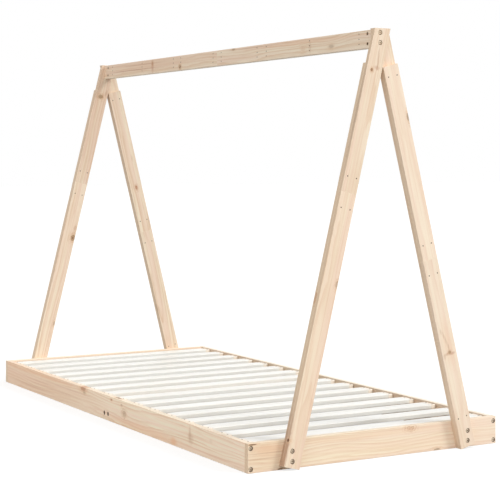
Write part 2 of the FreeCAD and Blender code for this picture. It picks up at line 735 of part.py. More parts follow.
def make_apex_barrels(label):
    """Barrel nuts let into the left face of the ridge beam, one for each apex bolt."""
    body = new_body(label)
    row, start = minus(f"({BEAM_HALF} - barrel_inset)"), f"({BEAM_LEFT} + barrel_recess)"
    sketch = new_sketch(body, "YZ_Plane", ("0", "0", start))
    draw_circles(sketch, [(row, APEX_BOLT_LOW)], "barrel_diameter")
    pad(body, sketch, "apex_barrel_length", 1)
    drill(body, "XZ_Plane", [(APEX_BOLT_X, APEX_BOLT_LOW)], "(bolt_diameter + thread_clearance)")
    cut_slot(body, "YZ_Plane", (row, APEX_BOLT_LOW), start, 1)
    repeat(body, [("Z_Axis", "apex_bolt_spacing", 2), "XZ_Plane"])
    return body


def make_bar_barrels(label):
    """Barrel nuts let into the underside of the cross bar, one for each bar bolt."""
    body = new_body(label)
    place = minus(f"({RAIL_INSIDE} - barrel_inset)")
    row, start = "(- bar_bolt_spacing / 2)", f"({BAR_BOTTOM} + barrel_recess)"
    sketch = new_sketch(body, "XY_Plane", ("0", "0", start))
    draw_circles(sketch, [(place, row)], "barrel_diameter")
    pad(body, sketch, "barrel_length", 1)
    drill(body, "YZ_Plane", [(row, "bar_bolt_height")], "(bolt_diameter + thread_clearance)")
    cut_slot(body, "XY_Plane", (place, row), start, 1)
    repeat(body, [("Y_Axis", "bar_bolt_spacing", 2), "YZ_Plane"])
    return body


def make_sleeve_nuts(label):
    """Flanged sleeve nuts in the inner faces of the end boards, one for each foot bolt."""
    body = new_body(label)
    face = minus(INNER_HALF)
    crown = f"({face} + head_height)"
    tip = f"({face} - sleeve_length)"
    head, sleeve = "(head_diameter / 2)", "(sleeve_diameter / 2)"
    bore = "(bolt_diameter / 2 + thread_clearance / 2)"
    centre = ("foot_bolt_spread", "0", "foot_bolt_low")
    turn_piece(body, "Y", centre, [(bore, crown), (head, crown), (head, face), (sleeve, face),
                                   (sleeve, tip), (bore, tip)])
    repeat(body, [("Z_Axis", "(foot_bolt_high - foot_bolt_low)", 2), "YZ_Plane", "XZ_Plane"])
    return body


def screw_profile(top, inwards, length):
    """Profile of a countersunk screw whose head is flush with a face and whose tip is a cone."""
    sign = "+" if inwards > 0 else "-"
    head, shank = "(screw_head_diameter / 2)", "(screw_diameter / 2)"
    neck = f"({top} {sign} ({head} - {shank}))"
    shoulder = f"({top} {sign} ({length} - screw_diameter))"
    tip = f"({top} {sign} {length})"
    return [("0", top), (head, top), (shank, neck), (shank, shoulder), ("0", tip)]


def cut_cross(body, plane, centre, top, facing):
    """Cut the cross recess into a screw head."""
    level = top if PLANE_FACING[plane] == 1 else minus(top)
    across, along = centre
    wide, narrow = "screw_recess_length / 2", "screw_recess_width / 2"
    for half_x, half_y in ((wide, narrow), (narrow, wide)):
        sketch = new_sketch(body, plane, ("0", "0", level))
        draw_outline(sketch, rectangle(f"({across} - {half_x})", f"({across} + {half_x})",
                                       f"({along} - {half_y})", f"({along} + {half_y})"))
        pocket(body, sketch, "screw_recess_depth", facing)


def make_slat_screws(label):
    """Screws that hold the slat ends down on the ledges."""
    body = new_body(label)
    row = f"({FIRST_SLAT} - slat_screw_spacing / 2)"
    turn_piece(body, "Z", (SLAT_SCREW_X, row, "0"), screw_profile(SLAT_TOP, -1, "slat_screw_length"))
    cut_cross(body, "XY_Plane", (SLAT_SCREW_X, row), SLAT_TOP, -1)
    count = SIZES["slat_count"]
    repeat(body, [("Y_Axis", "slat_screw_spacing", 2),
                  ("Y_Axis", f"({count - 1} * {SLAT_PITCH})", count), "YZ_Plane"])
    return body


def make_ledge_screws(label):
    """Screws that hold the ledges against the side rails."""
    body = new_body(label)
    pairs = SIZES["ledge_screw_pairs"]
    inside = f"({RAIL_INSIDE} - ledge_width)"
    height = f"({LEDGE_TOP} - ledge_height / 2)"
    row = f"(- {2 * pairs} * {SLAT_PITCH})"
    turn_piece(body, "X", ("0", row, height), screw_profile(inside, 1, "ledge_screw_length"))
    cut_cross(body, "YZ_Plane", (row, height), inside, 1)
    repeat(body, [("Y_Axis", f"({4 * pairs} * {SLAT_PITCH})", 2 * pairs + 1), "YZ_Plane"])
    return body


def make_leg_pins(label):
    """Pins driven into each layer of the A-frames from its outer face, near the ends of its boards."""
    body = new_body(label)
    for layer in (FRONT, BACK):
        centres = []
        for side in (LEFT, RIGHT):
            for x, along in pins_between(leg_kind(side, layer), "0", LEG_LENGTH):
                inwards = x if side == LEFT else minus(x)
                place = f"(leg_foot_spread - ({along}) * {SINE} - ({inwards}) * {COSINE})"
                height = f"(({along}) * {COSINE} - ({inwards}) * {SINE})"
                centres.append((place if side == RIGHT else minus(place), height))
        face = "(frame_length / 2)" if layer == BACK else "(frame_length / 2 + 2 * layer_thickness)"
        sketch = new_sketch(body, "XZ_Plane", ("0", "0", face))
        draw_circles(sketch, centres, "pin_diameter")
        pad(body, sketch, "pin_length", -layer)
    repeat(body, [("Y_Axis", "(frame_length + 2 * layer_thickness)", 2)])
    return body


def make_beam_pins(label):
    """Pins driven through the left layer of the ridge beam into the right one."""
    body = new_body(label)
    sketch = new_sketch(body, "YZ_Plane", ("0", "0", BEAM_LEFT))
    centres = [(row, level) for row in BEAM_PIN_ROWS for level in BEAM_PIN_LEVELS]
    draw_circles(sketch, centres, "pin_diameter")
    pad(body, sketch, "pin_length", 1)
    return body


def make_all():
    """Build every sub-part of the bed, and list them."""
    pieces = [
        make_side_rail("side_rail_left", LEFT),
        make_side_rail("side_rail_right", RIGHT),
        make_end_board("end_board_near", NEAR),
        make_end_board("end_board_far", FAR),
        make_ledge("slat_ledge_left", LEFT),
        make_ledge("slat_ledge_right", RIGHT),
        make_cross_bar("cross_bar"),
    ]
    for index in range(SIZES["slat_count"]):
        pieces.append(make_slat(f"slat_{index + 1:02d}", index))
    for frame, frame_name in ((NEAR, "near"), (FAR, "far")):
        for side, side_name in ((LEFT, "left"), (RIGHT, "right")):
            for layer, layer_name in ((FRONT, "front"), (BACK, "back")):
                for is_upper, part_name in ((False, "lower"), (True, "upper")):
                    label = f"leg_{frame_name}_{side_name}_{layer_name}_{part_name}"
                    pieces.append(make_leg_board(label, frame, side, layer, is_upper))
    joint = "beam_joint_spread"
    pieces += [
        make_beam_board("beam_left_near", LEFT, minus(BEAM_HALF), "0"),
        make_beam_board("beam_left_far", LEFT, "0", BEAM_HALF),
        make_beam_board("beam_right_near", RIGHT, minus(BEAM_HALF), minus(joint)),
        make_beam_board("beam_right_middle", RIGHT, minus(joint), joint),
        make_beam_board("beam_right_far", RIGHT, joint, BEAM_HALF),
    ]
    frame_face = "(frame_length / 2)"
    leg_face = "(frame_length / 2 + 2 * layer_thickness)"
    four_ways = ["YZ_Plane", "XZ_Plane"]
    pieces += [
        make_bolts_along_bed("corner_bolts", RAIL_MIDDLE, "corner_bolt_low",
                             "(corner_bolt_high - corner_bolt_low)", frame_face,
                             "corner_bolt_length", four_ways),
        make_bolts_along_bed("foot_bolts", "foot_bolt_spread", "foot_bolt_low",
                             "(foot_bolt_high - foot_bolt_low)", leg_face,
                             "foot_bolt_length", four_ways),
        make_bolts_along_bed("apex_bolts", APEX_BOLT_X, APEX_BOLT_LOW, "apex_bolt_spacing",
                             leg_face, "apex_bolt_length", ["XZ_Plane"]),
        make_bar_bolts("cross_bar_bolts"),
        make_corner_barrels("corner_barrel_nuts"),
        make_apex_barrels("apex_barrel_nuts"),
        make_bar_barrels("cross_bar_barrel_nuts"),
        make_sleeve_nuts("foot_sleeve_nuts"),
        make_slat_screws("slat_screws"),
        make_ledge_screws("ledge_screws"),
        make_leg_pins("leg_pins"),
        make_beam_pins("beam_pins"),
    ]
    return pieces


def check_document(pieces):
    """Stop if any object of the document failed or any sub-part lacks a sound shape."""
    doc.recompute()
    failed = [item.Label for item in doc.Objects if {"Invalid", "Error"} & set(item.State)]
    unsound = [piece.Label for piece in pieces if piece.Shape.isNull() or not piece.Shape.isValid()]
    if failed or unsound:
        raise RuntimeError(f"failed objects: {failed}, unsound shapes: {unsound}")


def write_parts(pieces):
    """Write each sub-part's shape to a file of its own."""
    os.makedirs(PARTS_FOLDER, exist_ok=True)
    for piece in pieces:
        piece.Shape.exportStep(os.path.join(PARTS_FOLDER, f"{piece.Label}.step"))
        box = piece.Shape.BoundBox
        print(f"{piece.Label}: {len(piece.Shape.Solids)} solids, "
              f"X {box.XMin:.1f} to {box.XMax:.1f}, Y {box.YMin:.1f} to {box.YMax:.1f}, "
              f"Z {box.ZMin:.1f} to {box.ZMax:.1f}")


bed_pieces = make_all()
check_document(bed_pieces)
write_parts(bed_pieces)
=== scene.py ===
"""Looks of a low floor bed for a child: pine boards, white slats, zinc-plated fasteners and the studio.

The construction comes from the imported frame, in metres, with X across the bed, Y along it from the near
A-frame to the far one, and Z up. This script dresses every board after the way it was sawn, the slats
with their lacquer and the fasteners with their plating, and sets up the floor, the lamps and the camera.
"""

import logging
import math
import random
from dataclasses import dataclass, field
from enum import Enum
from typing import Iterable, Optional, Union

import bpy
from mathutils import Euler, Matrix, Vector

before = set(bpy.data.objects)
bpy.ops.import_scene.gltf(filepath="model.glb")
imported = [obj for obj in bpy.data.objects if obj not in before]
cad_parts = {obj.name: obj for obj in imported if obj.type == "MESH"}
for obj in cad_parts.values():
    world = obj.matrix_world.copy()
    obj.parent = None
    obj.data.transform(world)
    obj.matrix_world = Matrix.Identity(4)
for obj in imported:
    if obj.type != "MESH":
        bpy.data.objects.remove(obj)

LOG = logging.getLogger("floor_bed")

MM = 0.001

ALONG_X = Vector((1, 0, 0))
ALONG_Y = Vector((0, 1, 0))
ALONG_Z = Vector((0, 0, 1))

Pair = tuple[float, float]
Triple = tuple[float, float, float]


def linear(red: int, green: int, blue: int) -> Triple:
    """Turn a screen colour of three bytes into the linear colour that shaders use.

    Args:
        red: Red from 0 to 255.
        green: Green from 0 to 255.
        blue: Blue from 0 to 255.

    Returns:
        The linear colour.
    """
    def channel(byte: int) -> float:
        """Undo the screen's curve for one channel."""
        share = byte / 255
        return share / 12.92 if share <= 0.04045 else ((share + 0.055) / 1.055) ** 2.4

    return channel(red), channel(green), channel(blue)


class Wire:
    """One output of a node, on which arithmetic adds Math nodes to the same material."""

    def __init__(self, bench: "Bench", socket: bpy.types.NodeSocket) -> None:
        """Hold the socket and the bench that owns it."""
        self.bench = bench
        self.socket = socket

    def __add__(self, other: "Value") -> "Wire":
        """Add another value."""
        return self.bench.math("ADD", self, other)

    __radd__ = __add__

    def __mul__(self, other: "Value") -> "Wire":
        """Multiply by another value."""
        return self.bench.math("MULTIPLY", self, other)

    __rmul__ = __mul__

    def __sub__(self, other: "Value") -> "Wire":
        """Subtract another value."""
        return self.bench.math("SUBTRACT", self, other)

    def __rsub__(self, other: "Value") -> "Wire":
        """Subtract this value from another."""
        return self.bench.math("SUBTRACT", other, self)

    def __truediv__(self, other: "Value") -> "Wire":
        """Divide by another value."""
        return self.bench.math("DIVIDE", self, other)

    def __abs__(self) -> "Wire":
        """Drop the sign."""
        return self.bench.math("ABSOLUTE", self)

    def root(self) -> "Wire":
        """Take the square root."""
        return self.bench.math("SQRT", self)

    def fraction(self) -> "Wire":
        """Keep what follows the decimal point."""
        return self.bench.math("FRACT", self)

    def lower(self, other: "Value") -> "Wire":
        """Take the lower of two values."""
        return self.bench.math("MINIMUM", self, other)

    def higher(self, other: "Value") -> "Wire":
        """Take the higher of two values."""
        return self.bench.math("MAXIMUM", self, other)

    def rise(self, start: float, end: float) -> "Wire":
        """Go smoothly from 0 at the start value to 1 at the end value.

        Args:
            start: Value at which the result is 0.
            end: Value at which the result is 1.

        Returns:
            The smooth step.
        """
        settings = {"interpolation_type": "SMOOTHSTEP"}
        return self.bench.wire("ShaderNodeMapRange", settings, {0: self, 1: start, 2: end, 3: 0.0, 4: 1.0})


Value = Union[Wire, float]
Colour = Union[Wire, Triple]
Owner = Union[bpy.types.Material, bpy.types.World]


@dataclass
class Surface:
    """What a finish works out for the shader: the colour, the roughness and the height of the relief."""

    colour: Wire
    rough: Wire
    relief: Wire


class Bench:
    """The node tree of one material or world, with one method that adds any node."""

    def __init__(self, owner: Owner) -> None:
        """Start with no nodes.

        Args:
            owner: The material or world.
        """
        self.owner = owner
        owner.use_nodes = True
        self.tree = owner.node_tree
        self.tree.nodes.clear()

    def node(self, kind: str, settings: dict[str, object], inputs: dict[object, object]) -> bpy.types.Node:
        """Add one node.

        Args:
            kind: The node's type.
            settings: Properties of the node, set before its sockets.
            inputs: Values or wires by the socket's name or number.

        Returns:
            The node.
        """
        made = self.tree.nodes.new(kind)
        for name, setting in settings.items():
            setattr(made, name, setting)
        for name, value in inputs.items():
            socket = made.inputs[name]
            if isinstance(value, Wire):
                self.tree.links.new(value.socket, socket)
            elif socket.type == "RGBA":
                socket.default_value = (*value, 1.0)
            else:
                socket.default_value = value
        return made

    def wire(self, kind: str, settings: dict[str, object], inputs: dict[object, object],
             output: Union[int, str] = 0) -> Wire:
        """Add one node and take one of its outputs.

        Args:
            kind: The node's type.
            settings: Properties of the node.
            inputs: Values or wires by the socket's name or number.
            output: Name or number of the output.

        Returns:
            The wire of that output.
        """
        return Wire(self, self.node(kind, settings, inputs).outputs[output])

    def math(self, operation: str, *values: Value) -> Wire:
        """Add a Math node."""
        return self.wire("ShaderNodeMath", {"operation": operation}, dict(enumerate(values)))

    def vector_math(self, operation: str, inputs: dict[object, object], output: Union[int, str]) -> Wire:
        """Add a Vector Math node."""
        return self.wire("ShaderNodeVectorMath", {"operation": operation}, inputs, output)

    def blend(self, factor: Value, first: Colour, second: Colour, kind: str = "MIX") -> Wire:
        """Mix two colours.

        Args:
            factor: Share of the second colour, from 0 to 1.
            first: The colour at 0.
            second: The colour at 1.
            kind: The way in which they mix.

        Returns:
            The mixed colour.
        """
        settings = {"data_type": "RGBA", "blend_type": kind}
        return self.wire("ShaderNodeMix", settings, {0: factor, 6: first, 7: second}, output=2)

    def place(self) -> Wire:
        """Give the place on the piece, in metres."""
        return self.wire("ShaderNodeTexCoord", {}, {}, "Object")

    def dot(self, first: Wire, second: Iterable[float]) -> Wire:
        """Multiply a vector by a fixed one into a number."""
        return self.vector_math("DOT_PRODUCT", {0: first, 1: tuple(second)}, "Value")

    def faces(self, direction: Vector, span: Pair) -> Wire:
        """Find the faces that look along a direction, either way.

        Args:
            direction: The direction.
            span: How much of the direction a face has to share to count not at all, and in full.

        Returns:
            1 on those faces and 0 on the others.
        """
        return abs(self.dot(self.wire("ShaderNodeTexCoord", {}, {}, "Normal"), direction)).rise(*span)

    def vector(self, first: Value, second: Value, third: Value) -> Wire:
        """Join three numbers into a vector."""
        return self.wire("ShaderNodeCombineXYZ", {}, {0: first, 1: second, 2: third})

    def noise(self, place: Wire, detail: float, output: str = "Fac") -> Wire:
        """Add cloudy noise whose spots are about one unit of the place wide.

        Args:
            place: The place, stretched as the noise should be.
            detail: How many finer layers are added.
            output: Fac for one noise, Color for three joined ones.

        Returns:
            The noise, around 0.5.
        """
        return self.wire("ShaderNodeTexNoise", {}, {"Vector": place, "Scale": 1.0, "Detail": detail}, output)

    def seen(self) -> Wire:
        """Part what the camera sees, also mirrored or through glass, from what lights the bed.

        Returns:
            1 for what is seen and 0 for what gives light.
        """
        rays = self.node("ShaderNodeLightPath", {}, {}).outputs
        kinds = ("Camera", "Glossy", "Transmission")
        camera, glossy, through = (Wire(self, rays[f"Is {kind} Ray"]) for kind in kinds)
        return camera.higher(glossy).higher(through)

    def finish(self, shader: Wire) -> Owner:
        """Wire a shader to the owner's surface.

        Args:
            shader: The shader.

        Returns:
            The finished material or world.
        """
        world = isinstance(self.owner, bpy.types.World)
        self.node("ShaderNodeOutputWorld" if world else "ShaderNodeOutputMaterial", {}, {"Surface": shader})
        return self.owner

    def coat(self, surface: Surface, bump: Pair, plain: dict[str, float]) -> Owner:
        """Make the shader of a solid surface.

        Args:
            surface: Its colour, roughness and relief.
            bump: How strong the relief is, and how deep in mm.
            plain: Values of the shader that are the same all over, by the socket's name.

        Returns:
            The finished material.
        """
        strength, depth = bump
        normal = self.wire("ShaderNodeBump", {}, {
            "Strength": strength, "Distance": depth * MM, "Height": surface.relief})
        return self.finish(self.wire("ShaderNodeBsdfPrincipled", {}, {
            "Base Color": surface.colour, "Roughness": surface.rough, "Normal": normal, **plain}))


class Sawing(Enum):
    """How a board was sawn from its log, as the pith's distance across and through the board, in mm."""

    SLAB = (12.0, 70.0)
    RIFT = (64.0, 60.0)
    QUARTER = (120.0, 8.0)


@dataclass(frozen=True)
class Mark:
    """A knot, a stain or a patch of painted shade: its heart on the bed, its reach in the board and how far
    rings bend round it, in mm.

    The strength is how much of its tone shows, and the softness is half the width of its rim, counted in its
    reach.
    """

    heart: Triple
    along: float
    across: float
    strength: float = 0.6
    tone: Triple = linear(150, 106, 72)
    softness: float = 0.35
    swirl: float = 8.0
    through: float = 40.0


def stain(heart: Triple, along: float, across: float, strength: float, tone: Triple) -> Mark:
    """Describe a soft patch of another colour, round which the rings stay straight.

    Args:
        heart: The patch's middle on the bed, in mm.
        along: Its reach along the board, in mm.
        across: Its reach across the board, in mm.
        strength: How much of its colour shows, from 0 to 1.
        tone: Its colour.

    Returns:
        The patch.
    """
    return Mark(heart, along, across, strength, tone, softness=0.7, swirl=0.0)


@dataclass
class Board:
    """One board: its directions in the bed, its middle and half sizes in mm, and its knots, stains and painted
    shade.

    The shade makes all of it lighter or darker, the grain makes its rings stronger, the pitch is the width of
    a ring in mm, and the flank is the tone of its two narrow faces.
    """

    name: str
    along: Vector
    across: Vector
    sawing: Sawing = Sawing.RIFT
    marks: tuple[Mark, ...] = ()
    shade: float = 0.0
    grain: float = 1.0
    pitch: float = 10.0
    flank: Triple = linear(240, 230, 211)
    directions: tuple[Vector, Vector, Vector] = field(init=False)
    middle: Vector = field(init=False)
    halves: Triple = field(init=False)
    seed: float = field(init=False)

    def __post_init__(self) -> None:
        """Work out the board's third direction, its middle and its half sizes from the frame."""
        self.directions = (self.along, self.across, self.along.cross(self.across))
        points = [vertex.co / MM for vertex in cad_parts[self.name].data.vertices]
        spans = []
        self.middle = Vector()
        for direction in self.directions:
            reach = [point.dot(direction) for point in points]
            spans.append((max(reach) - min(reach)) / 2)
            self.middle += direction * (max(reach) + min(reach)) / 2
        self.halves = tuple(spans)
        self.seed = random.Random(self.name).uniform(0, 900)


@dataclass(frozen=True)
class Cloud:
    """A noise in a board and the way in which it shows.

    The spot is the size of its spots along, across and through the board, in mm. The shift tells it from the
    board's other noises, and the detail is how many finer layers it has. Where it shows, it comes up between
    the two values of its span, and its share is how much of it then shows.
    """

    spot: Triple
    shift: float
    detail: float = 2.0
    span: Pair = (0.35, 0.65)
    share: float = 1.0


class BoardBench(Bench):
    """The node tree of one board's material, which knows the place in the board."""

    face_span: Pair = (0.75, 0.95)
    edge_span: Pair = (0.6, 3.5)

    def __init__(self, finish: str, board: Board) -> None:
        """Start the material, with the place in mm along, across and through the board, from its middle.

        Args:
            finish: The finish, as it stands in the material's name.
            board: The board.
        """
        super().__init__(bpy.data.materials.new(f"{finish}_{board.name}"))
        self.board = board
        place = self.place()
        self.places = tuple(self.dot(place, direction / MM) - board.middle.dot(direction)
                            for direction in board.directions)

    def cloud(self, cloud: Cloud, places: Optional[tuple[Value, Value, Value]] = None,
              output: str = "Fac") -> Wire:
        """Add a noise.

        Args:
            cloud: The noise.
            places: Where it is read, in mm, if that isn't the place in the board.
            output: Fac for one noise, Color for three joined ones.

        Returns:
            The noise, around 0.5.
        """
        along, across, through = (place * (1 / size) for place, size in zip(places or self.places, cloud.spot))
        moved = self.vector(along + (self.board.seed + cloud.shift), across, through)
        return self.noise(moved, cloud.detail, output)

    def patches(self, cloud: Cloud) -> Wire:
        """Add a noise as patches, which come up over its span."""
        return self.cloud(cloud).rise(*cloud.span)

    def spread(self, mark: Mark) -> Wire:
        """Measure from the heart of a mark.

        Args:
            mark: The mark.

        Returns:
            The distance, where 1 is its rim.
        """
        offset = Vector(mark.heart) - self.board.middle
        reaches = zip(self.places, self.board.directions, (mark.along, mark.across, mark.through))
        shares = [(place - offset.dot(direction)) / reach for place, direction, reach in reaches]
        return self.vector_math("LENGTH", {0: self.vector(*shares)}, "Value")

    def ends(self) -> Wire:
        """Give 1 on the board's ends and 0 on its other faces."""
        return self.faces(self.board.along, self.face_span)

    def flanks(self) -> Wire:
        """Give 1 on the board's two narrow faces and 0 on the others."""
        return self.faces(self.board.across, self.face_span)

    def edges(self) -> Wire:
        """Find the board's edges, where two of its faces are near.

        Returns:
            1 along the edges and 0 away from them.
        """
        along, across, through = (half - abs(place) for place, half in zip(self.places, self.board.halves))
        second_least = along.lower(across).higher(along.higher(across).lower(through))
        return 1 - second_least.rise(*self.edge_span)

    def shaded(self, colour: Wire) -> Wire:
        """Make a colour as much lighter or darker as the whole board is."""
        return self.blend(1.0, colour, (1.0 + self.board.shade,) * 3, "MULTIPLY")


@dataclass(frozen=True)
class KnotLook:
    """How a knot shows in the pine: a warm halo, curls of the grain in it, and the knot with its own rings.

    Distances from its heart are counted in its own reaches, and a share is how much of a colour shows. The
    curls and rings are how many there are to one reach, and the ring tone darkens the knot's own tone.
    """

    halo: Triple = linear(232, 194, 154)
    resin: Triple = linear(186, 134, 92)
    halo_span: Pair = (0.6, 3.2)
    halo_share: float = 0.70
    curls: float = 1.3
    curl_waver: float = 1.6
    curl_span: Pair = (0.45, 0.90)
    curl_share: float = 0.60
    full_swirl: float = 9.0
    rings: float = 3.0
    ring_waver: float = 0.15
    ring_span: Pair = (0.5, 0.95)
    ring_share: float = 0.35
    ring_tone: float = 0.5
    smoothing: float = 0.12
    height: float = 0.6

    def add(self, bench: Bench, surface: Surface, mark: Mark, spread: Wire, body: Wire, ragged: Wire,
            phase: Wire) -> None:
        """Add one knot to the surface of its board.

        Args:
            bench: The board's bench.
            surface: The surface so far, which changes.
            mark: The knot.
            spread: The distance from its heart.
            body: Where the knot itself shows.
            ragged: A fine noise that breaks its curls.
            phase: The board's rings, counted from the pith.
        """
        halo = 1 - spread.rise(*self.halo_span)
        wood = bench.blend(halo * halo * (self.halo_share * mark.strength), surface.colour, self.halo)
        curls = (spread * self.curls + ragged * self.curl_waver).fraction().rise(*self.curl_span)
        curl_share = self.curl_share * min(1.0, mark.swirl / self.full_swirl)
        wood = bench.blend(curls * halo * curl_share, wood, self.resin)
        rings = (spread * self.rings + phase * self.ring_waver).fraction().rise(*self.ring_span)
        darker = tuple(part * self.ring_tone for part in mark.tone)
        core = bench.blend(rings * self.ring_share, mark.tone, darker)
        surface.colour = bench.blend(body, wood, core)
        surface.rough = surface.rough - body * self.smoothing
        surface.relief = surface.relief + body * self.height


@dataclass(frozen=True)
class PineFinish:
    """Planed, unfinished pine, with its rings, streaks, fibres, knots and edges lit up by wear and a painted
    highlight.

    The pith of a board sways by its two reaches, in mm, and runs off its length by up to the greatest slope.
    A ring turns to late wood over one span of its width and back to early wood over the next. Within the bend
    span of a knot the rings part round it and bulge out. A share is how much of a colour shows. The heights
    are those of late wood, fibres and pores, and the roughening is that of late wood and fibres.
    """

    pale: Triple = linear(249, 234, 209)
    blush: Triple = linear(246, 221, 200)
    late_wood: Triple = linear(222, 183, 147)
    end_grain: Triple = linear(234, 208, 178)
    resin: Triple = linear(186, 134, 92)
    knot: KnotLook = KnotLook()
    sway: Cloud = Cloud((420, 110, 110), 0, 1.5)
    ragged: Cloud = Cloud((11, 6, 6), 7, share=0.7)
    broad: Cloud = Cloud((900, 26, 26), 11, span=(0.32, 0.68), share=0.85)
    streak: Cloud = Cloud((280, 5.5, 5.5), 23, 3.0, (0.44, 0.74), 0.40)
    waver: Cloud = Cloud((90, 9, 9), 31, share=0.6)
    fibre: Cloud = Cloud((60, 1.1, 1.4), 41, share=0.30)
    uneven: Cloud = Cloud((34, 1, 1), 57, share=4.0)
    pores: Cloud = Cloud((10, 0.6, 0.6), 67, 1.0, (0.73, 0.80), 0.30)
    wear_and_highlight: Cloud = Cloud((34, 9, 9), 83, share=0.35)
    clear: Cloud = Cloud((700, 34, 34), 91, 1.0, (0.30, 0.62), 0.8)
    sway_reaches: Pair = (46.0, 30.0)
    greatest_slope: float = 0.010
    pitch_range: Pair = (0.8, 1.25)
    late_span: Pair = (0.25, 0.90)
    early_span: Pair = (0.91, 1.0)
    ring_share: float = 0.36
    fibre_middle: float = 0.05
    flank_share: float = 0.65
    end_share: float = 0.60
    end_ring_share: float = 0.45
    bend_span: Pair = (0.0, 3.4)
    parting: float = 0.75
    bulge: float = 0.5
    heights: Triple = (0.5, 0.6, -0.8)
    roughness: float = 0.58
    roughening: Pair = (-0.10, 0.12)
    end_roughening: float = 0.14
    wear_and_highlight_roughening: float = 0.06
    bump: Pair = (0.35, 0.3)
    gloss: float = 0.30

    def dress(self, board: Board) -> Owner:
        """Make the material of one board.

        Args:
            board: The board that it is for.

        Returns:
            The material.
        """
        bench = BoardBench("pine", board)
        ragged = bench.cloud(self.ragged)
        spreads = [bench.spread(mark) + (ragged - 0.5) * self.ragged.share for mark in board.marks]
        phase = self.phase(bench, spreads)
        turn = phase.fraction()
        late = turn.rise(*self.late_span) * (1 - turn.rise(*self.early_span))
        surface = self.clear_wood(bench, late)
        for mark, spread in zip(board.marks, spreads):
            body = (1 - spread.rise(1 - mark.softness, 1 + mark.softness)) * mark.strength
            if mark.swirl:
                self.knot.add(bench, surface, mark, spread, body, ragged, phase)
            else:
                surface.colour = bench.blend(body, surface.colour, mark.tone)
        self.add_ends_and_edges(bench, surface, late)
        surface.colour = bench.shaded(surface.colour)
        return bench.coat(surface, self.bump, {"Specular IOR Level": self.gloss})

    def phase(self, bench: BoardBench, spreads: list[Wire]) -> Wire:
        """Count a board's rings from the pith, bent round its knots.

        Args:
            bench: The board's bench.
            spreads: The distance from each of its marks.

        Returns:
            The count, whose fraction goes from 0 to 1 over each ring.
        """
        board = bench.board
        luck = random.Random(board.name)
        along, across, through = bench.places
        pith_across, pith_through = board.sawing.value
        pith_across *= luck.choice((-1, 1))
        slope = luck.uniform(-self.greatest_slope, self.greatest_slope)
        flow = across
        bulge: Value = 0.0
        for mark, spread in zip(board.marks, spreads):
            if mark.swirl:
                near = 1 - spread.rise(*self.bend_span)
                heart_across = (Vector(mark.heart) - board.middle).dot(board.across)
                flow = flow - (across - heart_across) * near * self.parting
                bulge = near * (mark.swirl * self.bulge) + bulge
        sways = bench.node("ShaderNodeSeparateXYZ", {}, {0: bench.cloud(self.sway, output="Color")}).outputs
        sway_across, sway_through = (
            (Wire(bench, sway) - 0.5) * reach for sway, reach in zip(sways, self.sway_reaches))
        from_pith_across = flow - pith_across + sway_across + along * slope
        from_pith_through = through + pith_through + sway_through
        radius = (from_pith_across * from_pith_across + from_pith_through * from_pith_through).root() - bulge
        waver = (bench.cloud(self.waver) - 0.5) * self.waver.share
        uneven = bench.cloud(self.uneven, (radius, 0.0, 0.0)) * self.uneven.share
        return radius / (board.pitch * luck.uniform(*self.pitch_range)) + waver + uneven

    def clear_wood(self, bench: BoardBench, late: Wire) -> Surface:
        """Make the wood between the knots.

        Args:
            bench: The board's bench.
            late: Where late wood shows.

        Returns:
            The surface.
        """
        clear = bench.patches(self.clear) * self.clear.share + (1 - self.clear.share)
        fibre = bench.cloud(self.fibre)
        pores = bench.patches(self.pores)
        wood = bench.blend(bench.patches(self.broad) * self.broad.share, self.pale, self.blush)
        wood = bench.blend(late * clear * (self.ring_share * bench.board.grain), wood, self.late_wood)
        wood = bench.blend(bench.patches(self.streak) * self.streak.share, wood, self.late_wood)
        wood = bench.blend((fibre - 0.5) * self.fibre.share + self.fibre_middle, wood, self.late_wood)
        wood = bench.blend(pores * self.pores.share, wood, self.resin)
        wood = bench.blend(bench.flanks() * self.flank_share, wood, bench.board.flank)
        late_height, fibre_height, pore_height = self.heights
        late_rough, fibre_rough = self.roughening
        return Surface(wood, late * late_rough + fibre * fibre_rough + self.roughness,
                       late * late_height + fibre * fibre_height + pores * pore_height)

    def add_ends_and_edges(self, bench: BoardBench, surface: Surface, late: Wire) -> None:
        """Show the end grain on a board's ends, and lighten its edges as rubbed wear with a painted highlight.

        Args:
            bench: The board's bench.
            surface: The surface so far, which changes.
            late: Where late wood shows.
        """
        end = bench.ends()
        end_tone = bench.blend(late * self.end_ring_share, self.end_grain, self.resin)
        wood = bench.blend(end * self.end_share, surface.colour, end_tone)
        # painted highlight with rubbed wear: patches along the edges turn paler and rougher
        wear_and_highlight = bench.edges() * bench.patches(self.wear_and_highlight)
        surface.colour = bench.blend(wear_and_highlight * self.wear_and_highlight.share, wood, self.pale)
        surface.rough = surface.rough + end * self.end_roughening + wear_and_highlight * self.wear_and_highlight_roughening


